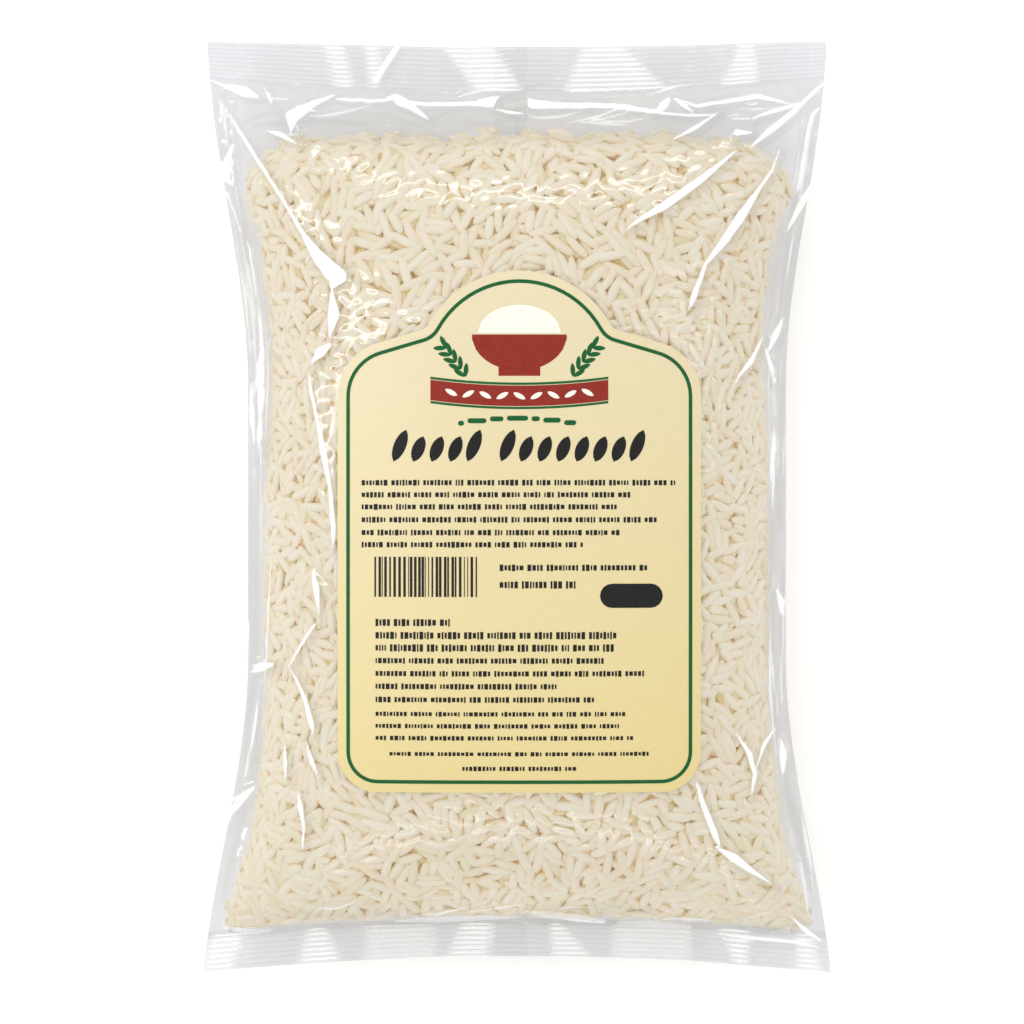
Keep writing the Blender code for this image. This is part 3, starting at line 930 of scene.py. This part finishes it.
def measure_crease(sheet, bends):
    """Distance of each point of the film from a crease, and the crease's half width there, in mm."""
    bends = np.array(bends)
    distance, share = along_route(sheet.points[..., :2] / MM, bends[:, :2])
    steps = np.linalg.norm(np.diff(bends[:, :2], axis=0), axis=1)
    places = np.concatenate([[0.0], np.cumsum(steps)]) / steps.sum()
    return distance, np.interp(share, places, bends[:, 2])


def press_creases(sheet, creases, look):
    """Heights of the creases. The film along them is painted white, as crease haze and painted highlight."""
    relief = np.zeros(sheet.points.shape[:2])
    for bends, strength in creases:
        distance, half = measure_crease(sheet, bends)
        ridge = smooth(1 - (distance - half) * MM / CREASE_FLANK)
        fold = np.maximum(0.0, 1 - distance / FOLD_REACH) ** 2
        height = (CREASE_RIDGE * ridge + CREASE_FOLD * fold) * np.sqrt(np.minimum(half, FULL_CREASE))
        relief = np.maximum(relief, height)
        look.whiten(CREASE_WHITE_SHARE * half - distance, strength)
    return relief


def shade_film(sheet, look):
    """Greyer film where front and back lie together, and painted shade in the crimps, in streaks, beside the
    creases, along the seals' inner edges and over the headspace.
    """
    x, y = sheet.points[..., 0], sheet.points[..., 1]
    gap = film_height(x, y, 1) - film_height(x, y, -1)
    look.grey += TOGETHER_GREY * (1 - smooth(gap / TOGETHER_GAP))
    for bends in CREASES:
        distance, half = measure_crease(sheet, np.array(bends) + SHADE_SHIFT)
        look.shade(half - distance, SHADE_SOFTNESS, SHADE_GREY)
    for bends, strength in seeded_lines(33, STREAKS_AT_EARS, STREAKS_AT_ENDS):
        distance, half = measure_crease(sheet, bends)
        look.shade(half - distance, STREAK_SOFTNESS, strength)
    lines = seal_lines(x / half_width(y))
    uneven = 0.7 + 0.3 * wobble(x, (47 * MM, 19 * MM), 5)
    look.shade(0.6 - np.abs(y - lines[1]) / MM, 1.0, SEAL_EDGE_SHADOW * uneven)
    look.shade(0.2 - np.abs(y - lines[2]) / MM, 1.2, SEAL_EDGE_SHADOW * uneven / 3)
    look.grey += CRIMP_SHADE * crimp_wave(sheet) * crimp_strength(sheet)
    low, high, side = (value * MM for value in HEADSPACE_SHADE)
    high = high + RICE_TOP_UNEVENNESS * wobble(x, RICE_TOP_WAVES, 8)
    within = np.minimum.reduce([y - low, high - y, side - np.abs(x)])
    look.grey += HEADSPACE_PAINTED_SHADE * smooth(within / HEADSPACE_SOFTNESS)


def drape(sheet, bed):
    """How far the film sinks between the grains."""
    sunk = np.minimum(bed.outer, DRAPE_DEPTH)
    for _ in range(DRAPE_ROUNDS):
        sunk[1:-1] = (sunk[:-2] + 2 * sunk[1:-1] + sunk[2:]) / 4
        sunk[:, 1:-1] = (sunk[:, :-2] + 2 * sunk[:, 1:-1] + sunk[:, 2:]) / 4
    s, t = sheet.flat_places()
    row = np.clip(np.rint(t / CELL).astype(int), 0, bed.rows - 1)
    column = np.clip(np.rint((s + bed.half) / CELL).astype(int), 0, bed.columns - 1)
    rice = bed.open[row, column] & (t >= 0) & (t <= sheet.length)
    return -DRAPE_SHARE * np.where(rice, sunk[row, column], DRAPE_CLEAR)


def make_film(beds):
    material = film_material()
    for side, name, step in ((1, "film_front", FILM_STEP), (-1, "film_back", BACK_STEP)):
        sheet = Sheet(side, step, film_height, film_top, whole=True)
        sheet.round_off(round((FILM_ROUNDING / step) ** 2 / 2))
        relief = crimps(sheet)
        x, y = sheet.points[..., 0], sheet.points[..., 1]
        look = FilmLook(x.shape)
        if side > 0:
            shade_film(sheet, look)
            whiten_seals(sheet, look)
            creases = [(bends, 1.0) for bends in CREASES] + [(bends, VEIL_WHITE) for bends in BOTTOM_VEILS]
            creases += seeded_lines(21, CREASES_AT_EARS, CREASES_AT_ENDS)
            ridges = press_creases(sheet, creases, look)
            bare = smooth(-inside_label(x, y) / LABEL_FADE)
            relief = relief + bare * (ridges + drape(sheet, beds[1]) * (sheet.shares[:, :1] == 0))
        points = sheet.points + sheet.normals * relief[..., None] * side
        piece = new_piece(name, points, grid_faces(*x.shape, flip=side < 0), material)
        look.store(piece)
        if side > 0:
            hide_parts("bag")


def make_seam():
    """The fin seam: a doubled strip of film down the back, pressed flat under it."""
    rows, columns = 160, 5
    y = np.linspace(-LENGTH / 2 + BOTTOM_SEAL_OUTER_BOW, LENGTH / 2 - TOP_SEAL_OUTER_BOW, rows)
    x = np.linspace(*SEAM_EDGES, columns)
    grid_x, grid_y = np.meshgrid(x, y)
    z = np.maximum(film_height(grid_x, grid_y, -1) - SEAM_DROP, SEAM_LIFT)
    points = np.stack([grid_x, grid_y, z], axis=-1)
    piece = new_piece("fin_seam", points, grid_faces(rows, columns, flip=True), film_material())
    look = FilmLook(grid_x.shape)
    look.grey[:] = SEAM_GREY
    look.store(piece)


# The label and its print: shapes are bands between a lower and an upper curve, laid on the label


def place_on_label(x, y, lift):
    return np.stack([x, y, label_height(x, y) + lift], axis=-1)


def make_label():
    side = LABEL_SIDE
    extra = np.linspace(LABEL_BOTTOM, LABEL_TOP, 60)
    y = np.unique(np.round(np.concatenate([side[:, 1], extra]), 6))
    half = np.interp(y, side[:, 1], -side[:, 0])
    x = LABEL_CENTRE_X + np.linspace(-1, 1, 41) * half[:, None]
    y = np.broadcast_to(y[:, None], x.shape)
    points = place_on_label(x, y, 0.0)
    piece = new_piece("label_sheet", points, grid_faces(*x.shape), label_material())
    tip = bmesh.new()
    tip.from_mesh(piece.data)
    bmesh.ops.remove_doubles(tip, verts=tip.verts, dist=1e-6)
    tip.to_mesh(piece.data)
    tip.free()
    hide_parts("label")


class Print:
    """Shapes of one ink, gathered into one mesh."""

    def __init__(self, name, colour):
        self.name = name
        self.colour = colour
        self.points = []
        self.faces = []

    def add(self, x, y, lift):
        """A grid of points, given as two arrays of the same shape, in mm on the label."""
        count = len(self.points)
        grid = place_on_label(x * MM, y * MM, PRINT_LIFT * lift)
        self.points += grid.reshape(-1, 3).tolist()
        self.faces += (grid_faces(*x.shape) + count).tolist()

    def band(self, x, low, high, lift=1, rows=3):
        """The field between two curves over x."""
        share = np.linspace(0.0, 1.0, rows)[:, None]
        self.add(np.broadcast_to(x, (rows, len(x))), mix(low, high, share), lift)

    def bar(self, left, right, middle, height, lift=1):
        """A bar with rounded ends."""
        radius = min(height, right - left) / 2
        turn = np.linspace(0.0, math.pi / 2, 5)
        ends = radius * (1 - np.cos(turn))
        between = np.arange(left + radius + 2.5, right - radius - 1.0, 2.5)
        x = np.concatenate([left + ends, between, right - ends[::-1]])
        reach = np.minimum(x - left, right - x)
        tall = height / 2 * np.sqrt(np.clip(1 - (1 - np.minimum(reach / radius, 1)) ** 2, 0.0, 1.0))
        tall = np.maximum(tall, 0.02)
        self.band(x, middle - tall, middle + tall, lift)

    def grain(self, x, y, length, width, turn, lift=1):
        """A grain shape, pointed at both ends."""
        along = np.linspace(-1.0, 1.0, 9)
        wide = np.maximum(np.abs(1 - along**2) ** 0.7, 0.02)
        share = np.array([[-1.0], [0.0], [1.0]])
        u = np.broadcast_to(along * length / 2, (3, 9))
        v = share * wide * width / 2
        run, rise = math.cos(turn), math.sin(turn)
        self.add(x + u * run - v * rise, y + u * rise + v * run, lift)

    def finish(self):
        new_piece(self.name, self.points, self.faces, ink_material(self.name, self.colour))


def make_keyline():
    """The green line just inside the label's edge."""
    edges = []
    for inset in KEYLINE_INSETS:
        left = label_side(inset)
        right = left[::-1] * (-1, 1)
        loop = np.concatenate([left, right[1:], left[:1]])
        run = np.concatenate([[0.0], np.cumsum(np.linalg.norm(np.diff(loop, axis=0), axis=1))])
        places = np.linspace(0.0, run[-1], 420)
        x = np.interp(places, run, loop[:, 0]) + LABEL_CENTRE_X
        edges.append((x, np.interp(places, run, loop[:, 1])))
    x, y = np.array(edges).transpose(1, 0, 2)
    return x / MM, y / MM


# Lines of small print on the label: left end, right end, y of the middle and height of the bars, in mm
SMALL_LINES = (
    (-41.2, 42.8, 6.4, 1.1),
    (-41.2, 29.9, 3.2, 1.1),
    (-41.2, 27.2, 0.0, 1.1),
    (-41.2, 37.0, -3.4, 1.1),
    (-41.2, 28.0, -6.8, 1.1),
    (-41.2, 18.4, -10.0, 1.1),
    (-4.6, 34.8, -16.1, 1.2),
    (-4.6, 15.5, -20.6, 1.4),
    (-37.5, -17.6, -30.6, 1.4),
    (-37.5, 26.9, -34.0, 1.4),
    (-37.5, 26.1, -37.3, 1.4),
    (-37.5, 24.0, -40.7, 1.1),
    (-37.5, 34.8, -44.1, 1.1),
    (-37.5, 11.0, -47.5, 1.1),
    (-37.5, 21.0, -51.0, 1.1),
    (-37.5, 29.2, -54.8, 0.9),
    (-37.5, 29.5, -58.0, 0.9),
    (-37.5, 31.6, -61.2, 0.9),
    (-33.8, 35.3, -65.4, 0.8),
    (-14.5, 16.0, -69.3, 0.9),
)
DASHES = (3, 10)  # in a group
DASH = (0.35, 1.0)  # length of a dash in mm
DASH_HEIGHT = (0.5, 0.72)  # half a dash's height, as a share of its line's
DASH_GAP = 0.33
GROUP_GAP = 0.75
BAR_CODE = (-37.8, -10.6, -23.8, -13.2)  # left, right, bottom and top in mm
BAR_STEP = 0.22


def small_print(ink):
    """Lines of short dashes in groups, with seeded lengths."""
    draw = np.random.default_rng(5)
    for left, right, middle, height in SMALL_LINES:
        x = left
        while x < right - 1.5:
            for _ in range(draw.integers(*DASHES)):
                dash = draw.uniform(*DASH)
                if x + dash > right:
                    break
                ends = np.array([x, x + dash])
                tall = height * draw.uniform(*DASH_HEIGHT)
                ink.band(ends, np.full(2, middle - tall), np.full(2, middle + tall))
                x += dash + DASH_GAP
            x += GROUP_GAP


def bar_code(ink):
    draw = np.random.default_rng(9)
    left, right, low, high = BAR_CODE
    x = left
    while x < right:
        stripe = BAR_STEP * draw.integers(1, 4)
        edges = np.array([x, min(x + stripe, right)])
        ink.band(edges, np.full(2, low), np.full(2, high), rows=6)
        x += stripe + BAR_STEP * draw.integers(1, 4)


def title(ink):
    """Two groups of bold slanting grain shapes, in place of a name."""
    for left, count in ((-31.0, 5), (-2.5, 8)):
        for k in range(count):
            tall = 9.0 if k in (0, count - 1) else 7.2
            ink.grain(left + 4.9 * k, 15.3 + (tall - 7.2) / 2, tall, 3.3, math.radians(68))


def emblem(red, green, cream):
    """A heaped bowl between two ears of rice, over a plain ribbon."""
    bowl = np.linspace(-12.5, 12.5, 25)
    depth = 9.5 * np.sqrt(np.maximum(1 - (bowl / 12.6) ** 2, 0.0))
    middle = LABEL_CENTRE_X / MM
    red.band(middle + bowl, 45.5 - depth, np.full(25, 45.5), rows=5)
    foot = np.linspace(-5.5, 5.5, 7)
    red.band(middle + foot, np.full(7, 34.6), np.full(7, 37.0))
    heap = np.linspace(-11.0, 11.0, 25)
    rise = 7.5 * np.sqrt(np.maximum(1 - (heap / 11.0) ** 2, 0.002))
    cream.band(middle + heap, np.full(25, 45.9), 45.9 + rise, rows=4)
    for side in (-1, 1):
        for k in range(5):
            turn = math.radians(62 - 8 * k)
            x, y = 14.2 + 1.25 * k, 34.4 + 1.9 * k
            for lean in (-0.55, 0.55):
                across = turn + lean
                leaf_x, leaf_y = x + 1.8 * math.cos(across), y + 1.8 * math.sin(across)
                angle = across if side > 0 else math.pi - across
                green.grain(middle + side * leaf_x, leaf_y, 3.6, 1.25, angle)
    ribbon = np.linspace(-23.5, 23.5, 33)
    sag = 1.6 * (ribbon / 23.5) ** 2
    red.band(middle + ribbon, 26.6 + sag, 32.0 + sag)
    for edge in (25.8, 32.2):
        green.band(middle + ribbon, edge + sag, edge + 0.6 + sag)
    for k in range(9):
        place = -18.0 + 4.5 * k
        turn = math.radians(28 if k % 2 else -28)
        cream.grain(middle + place, 29.3 + 1.6 * (place / 23.5) ** 2, 3.6, 1.3, turn, lift=2)


def tagline(green):
    """A shallow arc of green dashes."""
    start = -15.6
    for length in (1.6, 5.0, 3.6, 5.6, 2.2, 4.6, 3.2):
        middle = start + length / 2
        green.bar(start, start + length, 23.4 - 0.006 * middle**2, 1.3)
        start += length + 0.9


def make_print():
    dark = Print("print_dark", (0.01, 0.0095, 0.009))
    green = Print("print_green", (0.004, 0.1, 0.022))
    red = Print("print_red", (0.26, 0.022, 0.012))
    cream = Print("print_cream", (0.86, 0.83, 0.74))
    small_print(dark)
    bar_code(dark)
    title(dark)
    dark.bar(21.9, 38.6, -23.5, 6.4)
    green.add(*make_keyline(), 1)
    emblem(red, green, cream)
    tagline(green)
    for ink in (dark, green, red, cream):
        ink.finish()


# Materials

WHITE = (1.0, 1.0, 1.0, 1.0)
# White of the creases: crease haze and painted highlight
CREASE_HAZE_AND_HIGHLIGHT = (0.97, 0.97, 0.97, 1.0)
CLEAR_TINT = (0.985, 0.986, 0.988, 1.0)
# Grey of the film, which also carries its painted shade
GREY_TINT = (0.715, 0.725, 0.75, 1.0)
FILM_SHEEN = 0.05  # share of the light that the film reflects face on
FLOOR_TONES = ((0.925, 0.925, 0.925, 1.0), (0.935, 0.935, 0.935, 1.0))
FLOOR_GLOW = 0.16  # keeps the floor white beside the bag
# Tones below 0.4, down to tan, come only from the painted shade of deep grains
RICE_TONES = (
    (0.0, (0.76, 0.60, 0.30, 1.0)),
    (0.4, (0.885, 0.79, 0.60, 1.0)),
    (1.0, (0.91, 0.84, 0.695, 1.0)),
)
RICE_TINGES = ((1.0, 0.968, 0.965, 1.0), (0.968, 0.985, 0.945, 1.0))
RICE_GLOW = 0.10  # stands for the light that grains pass on to each other from inside
# Tan of the rice's heart: painted shade deep between the grains
CORE_SHADE_TONES = ((0.74, 0.62, 0.26, 1.0), (0.88, 0.62, 0.36, 1.0))
LABEL_TONES = ((0.0, (0.775, 0.637, 0.275, 1.0)), (1.0, (0.775, 0.688, 0.478, 1.0)))
LABEL_FIBRE = ((0.975, 0.975, 0.97, 1.0), WHITE)
INK_SHEEN = 0.2
INK_WEAR = (1.12, 0.004)  # worn ink is paler by this share and this much


def make_material(name):
    material = bpy.data.materials.new(name)
    material.use_nodes = True
    material.node_tree.nodes.clear()
    return material


def add_node(material, kind, inputs=None, **settings):
    """A node, each of whose inputs is given a value or the output of another node."""
    tree = material.node_tree
    node = tree.nodes.new(f"ShaderNode{kind}")
    for name, value in settings.items():
        setattr(node, name, value)
    for socket, value in (inputs or {}).items():
        if isinstance(value, bpy.types.NodeSocket):
            tree.links.new(value, node.inputs[socket])
        else:
            node.inputs[socket].default_value = value
    return node


def add_math(material, operation, *values):
    return add_node(material, "Math", dict(enumerate(values)), operation=operation).outputs["Value"]


def add_ramp(material, value, stops):
    """A colour for each value, from the places and colours of the stops."""
    ramp = add_node(material, "ValToRGB", {"Fac": value})
    elements = ramp.color_ramp.elements
    for element, (place, colour) in zip(elements, (stops[0], stops[-1])):
        element.position = place
        element.color = colour
    for place, colour in stops[1:-1]:
        elements.new(place).color = colour
    return ramp.outputs["Color"]


def add_noise(material, scale, low, high, detail=3.0):
    """Noise over the piece, as a colour between two."""
    place = add_node(material, "TexCoord").outputs["Object"]
    noise = add_node(material, "TexNoise", {"Vector": place, "Scale": scale, "Detail": detail})
    return add_ramp(material, noise.outputs["Fac"], ((0.3, low), (0.7, high)))


def multiply(material, first, second):
    inputs = {"Factor": 1.0, "A": first, "B": second}
    return add_node(material, "Mix", inputs, data_type="RGBA", blend_type="MULTIPLY").outputs["Result"]


def stored(material, name):
    """The values that set_values stored on the piece."""
    return add_node(material, "Attribute", attribute_name=name).outputs["Fac"]


def mix_shaders(material, share, first, second):
    inputs = {"Fac": share, 1: first.outputs[0], 2: second.outputs[0]}
    return add_node(material, "MixShader", inputs)


def finish_material(material, shader):
    add_node(material, "OutputMaterial", {"Surface": shader.outputs[0]})
    return material


def film_material():
    """Clear film: a little grey, with painted shade in places, glossy, and painted white along the creases as
    crease haze and painted highlight.
    """
    film = make_material("film")
    tint = add_ramp(film, stored(film, "grey"), ((0.0, CLEAR_TINT), (1.0, GREY_TINT)))
    clear = add_node(film, "BsdfTransparent", {"Color": tint})
    gloss = add_node(film, "BsdfGlossy", {"Color": WHITE, "Roughness": 0.1})
    facing = add_node(film, "LayerWeight", {"Blend": 0.5}).outputs["Facing"]
    grazing = add_math(film, "POWER", facing, 5.0)
    sheen = add_math(film, "MULTIPLY_ADD", grazing, 1.0 - FILM_SHEEN, FILM_SHEEN)
    inputs = {"Value": stored(film, "inside"), "From Min": -CREASE_SHARPNESS, "From Max": CREASE_SHARPNESS}
    patch = add_node(film, "MapRange", inputs, interpolation_type="SMOOTHSTEP").outputs["Result"]
    share = add_math(film, "MULTIPLY", patch, stored(film, "white"))
    # Painted white along the creases: crease haze and painted highlight
    haze_and_highlight = add_node(film, "BsdfDiffuse", {"Color": CREASE_HAZE_AND_HIGHLIGHT})
    hazed_and_highlit = mix_shaders(film, share, mix_shaders(film, sheen, clear, gloss), haze_and_highlight)
    return finish_material(film, hazed_and_highlit)


def rice_material():
    """Polished rice: cream to nearly white from grain to grain, a little pink or green in places."""
    rice = make_material("rice")
    tone = add_ramp(rice, stored(rice, "tone"), RICE_TONES)
    colour = multiply(rice, tone, add_noise(rice, 300.0, *RICE_TINGES, detail=0.0))
    inputs = {"Base Color": colour, "Roughness": 0.55, "Specular IOR Level": 0.3}
    inputs |= {"Emission Color": colour, "Emission Strength": RICE_GLOW}
    return finish_material(rice, add_node(rice, "BsdfPrincipled", inputs))


def plain_material(name, low, high, scale, roughness, sheen=0.5, glow=0.0):
    """A matt or satin surface whose colour varies between two."""
    material = make_material(name)
    colour = add_noise(material, scale, low, high)
    inputs = {"Base Color": colour, "Roughness": roughness, "Specular IOR Level": sheen}
    inputs |= {"Emission Color": WHITE, "Emission Strength": glow}
    return finish_material(material, add_node(material, "BsdfPrincipled", inputs))


def core_material():
    return plain_material("rice_core", *CORE_SHADE_TONES, 380.0, 0.6)


def ink_material(name, colour):
    paler, more = INK_WEAR
    worn = tuple(value * paler + more for value in colour)
    return plain_material(name, (*colour, 1.0), (*worn, 1.0), 900.0, 0.5, sheen=INK_SHEEN)


def label_material():
    """Cream label stock, paler towards the top left, with a faint fibre."""
    stock = make_material("label_stock")
    place = add_node(stock, "TexCoord").outputs["Object"]
    inputs = {"Vector": place, "Location": (0.5, 0.0, 0.0), "Rotation": (0.0, 0.0, math.radians(-100))}
    turned = add_node(stock, "Mapping", inputs | {"Scale": (6.0, 6.0, 6.0)}).outputs["Vector"]
    gradient = add_node(stock, "TexGradient", {"Vector": turned}).outputs["Fac"]
    cream = add_ramp(stock, gradient, LABEL_TONES)
    colour = multiply(stock, cream, add_noise(stock, 500.0, *LABEL_FIBRE))
    inputs = {"Base Color": colour, "Roughness": 0.38}
    return finish_material(stock, add_node(stock, "BsdfPrincipled", inputs))


# Floor, light and camera


def make_floor():
    material = plain_material("floor", *FLOOR_TONES, 8.0, 0.8, glow=FLOOR_GLOW)
    bpy.ops.mesh.primitive_plane_add(size=6.0, location=(0, 0, 0))
    floor = bpy.context.object
    floor.name = "floor"
    floor.data.materials.append(material)


def make_light(name, location, size, power):
    light = bpy.data.lights.new(name, "AREA")
    light.shape = "RECTANGLE"
    light.size, light.size_y = size
    light.energy = power
    lamp = bpy.data.objects.new(name, light)
    bpy.context.scene.collection.objects.link(lamp)
    lamp.location = location
    lamp.rotation_euler = (-lamp.location).to_track_quat("-Z", "Y").to_euler()


WORLD_LIGHT = 0.90

# The soft lights: name, place, size and power of each
STRIPS = (
    ("left_strip", (-0.85, 0.1, 0.72), (0.06, 1.2), 2.1),
    ("right_strip", (0.85, 0.1, 0.72), (0.06, 1.2), 0.5),
    ("top_strip", (0.0, 0.95, 0.75), (1.2, 0.06), 2.2),
    ("bottom_strip", (0.0, -0.95, 0.75), (1.2, 0.06), 0.8),
)


def make_lights():
    world = bpy.data.worlds.new("studio")
    bpy.context.scene.world = world
    world.use_nodes = True
    background = world.node_tree.nodes["Background"]
    background.inputs["Color"].default_value = WHITE
    background.inputs["Strength"].default_value = WORLD_LIGHT
    for strip in STRIPS:
        make_light(*strip)


def make_camera():
    camera = bpy.data.objects.new("camera", bpy.data.cameras.new("camera"))
    bpy.context.scene.collection.objects.link(camera)
    middle = PHOTO_SIZE / 2
    x = (middle - BAG_MIDDLE_PIXEL[0]) * PIXEL
    y = (BAG_MIDDLE_PIXEL[1] - middle) * PIXEL
    camera.location = (x, y, SEAL_HEIGHT + CAMERA_DISTANCE)
    camera.data.sensor_width = SENSOR * 1000
    camera.data.lens = SENSOR * 1000 * CAMERA_DISTANCE / (PHOTO_SIZE * PIXEL)
    bpy.context.scene.camera = camera
    bpy.context.scene.view_settings.view_transform = "Standard"
    bpy.context.scene.cycles.transparent_max_bounces = 16
    bpy.context.scene.cycles.diffuse_bounces = 7


make_camera()
make_lights()
make_floor()
make_film(make_rice())
make_core()
make_seam()
make_label()
make_print()
